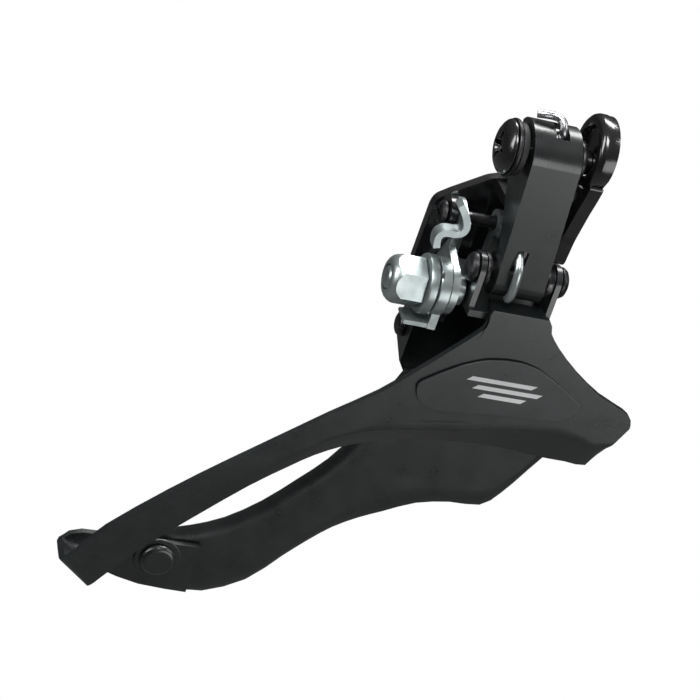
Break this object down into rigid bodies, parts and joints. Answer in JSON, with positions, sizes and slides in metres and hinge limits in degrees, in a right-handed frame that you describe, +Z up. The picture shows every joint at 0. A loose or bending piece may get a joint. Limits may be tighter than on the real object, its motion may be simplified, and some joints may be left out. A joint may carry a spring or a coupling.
{
  "type": "bicycle front derailleur",
  "caption": "Bicycle front derailleur: swinging four-bar linkage with return spring, cable anchor and limit screws, carrying a long black steel chain cage",
  "frame": {"origin": "centre of the flat seat face that lies against the bicycle's mounting tab", "axes": "+X forward along the pivots, +Y inboard towards the bicycle frame and out of the seat face, +Z up; the chain cage hangs below and runs back to -X"},
  "size_m": [0.1143, 0.032, 0.1354],
  "materials": {
    "body_bracket": "gloss black paint",
    "upper_pivot_bolt": "gloss black paint",
    "upper_pivot_washer": "black oxide",
    "upper_pivot_spacer": "moulded nylon",
    "upper_pivot_bush": "moulded nylon",
    "eye_washer": "black oxide",
    "inner_upper_pin": "black oxide",
    "outer_link": "satin black e-coat",
    "return_spring": "plain steel",
    "spring_leg": "bright zinc plate",
    "lower_pivot_pin": "black oxide",
    "lower_washer_rear": "black oxide",
    "lower_washer_front": "black oxide",
    "inner_link": "bright zinc plate",
    "anchor_bolt": "bright zinc plate",
    "anchor_washer": "bright zinc plate",
    "cable_clamp_plate": "bright zinc plate",
    "cage_outer_plate": "satin black e-coat",
    "cage_inner_plate": "satin black e-coat",
    "cage_pivot_bracket": "satin black e-coat",
    "bracket_rivet_rear": "plain steel",
    "bracket_rivet_front": "plain steel",
    "tail_rivet": "satin black e-coat",
    "tail_washer": "satin black e-coat",
    "label_badge": "printed label, dark satin",
    "inner_lower_pin": "black oxide",
    "anchor_nut": "bright zinc plate",
    "high_limit_screw": "plain steel",
    "low_limit_screw": "plain steel"
  },
  "bodies": {
    "body": {"body_bracket": "body_bracket", "upper_pivot_bolt": "upper_pivot_bolt", "upper_pivot_washer": "upper_pivot_washer", "upper_pivot_spacer": "upper_pivot_spacer", "upper_pivot_bush": "upper_pivot_bush", "eye_washer": "eye_washer", "inner_upper_pin": "inner_upper_pin"},
    "outer_arm": {"outer_link": "outer_link", "return_spring": "return_spring", "spring_leg": "spring_leg", "lower_pivot_pin": "lower_pivot_pin", "lower_washer_rear": "lower_washer_rear", "lower_washer_front": "lower_washer_front"},
    "inner_arm": {"inner_link": "inner_link", "anchor_bolt": "anchor_bolt", "anchor_washer": "anchor_washer", "cable_clamp_plate": "cable_clamp_plate"},
    "cage": {"cage_outer_plate": "cage_outer_plate", "cage_inner_plate": "cage_inner_plate", "cage_pivot_bracket": "cage_pivot_bracket", "bracket_rivet_rear": "bracket_rivet_rear", "bracket_rivet_front": "bracket_rivet_front", "tail_rivet": "tail_rivet", "tail_washer": "tail_washer", "label_badge": "label_badge", "inner_lower_pin": "inner_lower_pin"},
    "nut": {"anchor_nut": "anchor_nut"},
    "high_screw": {"high_limit_screw": "high_limit_screw"},
    "low_screw": {"low_limit_screw": "low_limit_screw"}
  },
  "joints": [
    {"name": "link_swing", "type": "hinge", "parent": "body", "child": "outer_arm", "pos_m": [-0.004, -0.024, 0.033], "axis": [-1, 0, 0], "range_deg": [0, 35], "stiffness_Nm_per_rad": 0.12, "springref_deg": -68.75},
    {"name": "inner_link_swing", "type": "hinge", "parent": "body", "child": "inner_arm", "pos_m": [-0.004, -0.0125, 0.0105], "axis": [-1, 0, 0], "range_deg": [0, 35]},
    {"name": "cage_pivot", "type": "hinge", "parent": "outer_arm", "child": "cage", "pos_m": [-0.004, -0.024, 0.005], "axis": [-1, 0, 0], "range_deg": [-35, 0]},
    {"name": "anchor_nut_turn", "type": "hinge", "parent": "inner_arm", "child": "nut", "pos_m": [-0.026, -0.022, -0.002], "axis": [-1, 0, 0], "range_deg": [-180, 180]},
    {"name": "high_limit_turn", "type": "hinge", "parent": "body", "child": "high_screw", "pos_m": [-0.0064, -0.0157, 0.0187], "axis": [0, 0, 1], "range_deg": [-180, 180]},
    {"name": "low_limit_turn", "type": "hinge", "parent": "body", "child": "low_screw", "pos_m": [-0.0024, -0.0112, 0.0187], "axis": [0, 0, 1], "range_deg": [-180, 180]}
  ],
  "couplings": [
    {"joint": "inner_link_swing", "follows": "link_swing", "ratio": 1},
    {"joint": "cage_pivot", "follows": "link_swing", "ratio": -1}
  ]
}
